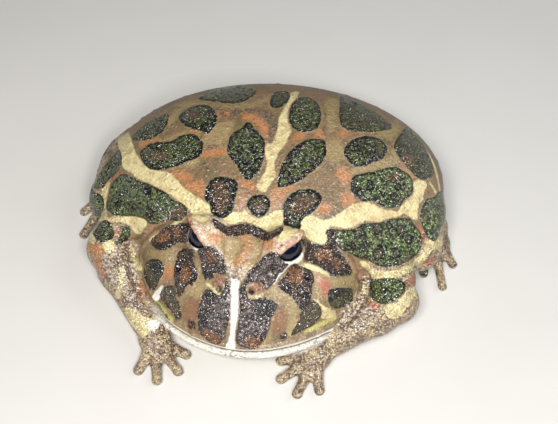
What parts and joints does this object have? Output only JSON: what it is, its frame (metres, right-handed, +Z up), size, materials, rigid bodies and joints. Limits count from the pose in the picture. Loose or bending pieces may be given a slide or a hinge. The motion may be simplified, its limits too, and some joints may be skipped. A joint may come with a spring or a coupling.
{
  "type": "horned frog figure",
  "caption": "Life-size still model of a broad horned frog resting on its belly, with folded limbs, a wide closed mouth and short horns over the eyes.",
  "frame": {"origin": "on the floor below the middle of the model's box", "axes": "+Z up and the shortest way, +X to the frog's left and the longest way, the frog faces -Y"},
  "size_m": [0.1362, 0.116, 0.045],
  "materials": {
    "skin": "wet, finely granular, tan with dark green and brown blotches",
    "throat_skin": "wet, cream white",
    "horn_skin": "wet, smooth, orange cream",
    "eye": "clear, very glossy, near black"
  },
  "bodies": {
    "root": {"torso": "skin", "head": "skin", "lower_jaw": "throat_skin", "horn_left": "horn_skin", "horn_right": "horn_skin", "eye_left": "eye", "eye_right": "eye", "upper_arm_left": "skin", "upper_arm_right": "skin", "forearm_left": "skin", "forearm_right": "skin", "hand_left": "skin", "hand_right": "skin", "thigh_left": "skin", "thigh_right": "skin", "shank_left": "skin", "shank_right": "skin", "foot_left": "skin", "foot_right": "skin"}
  },
  "joints": []
}
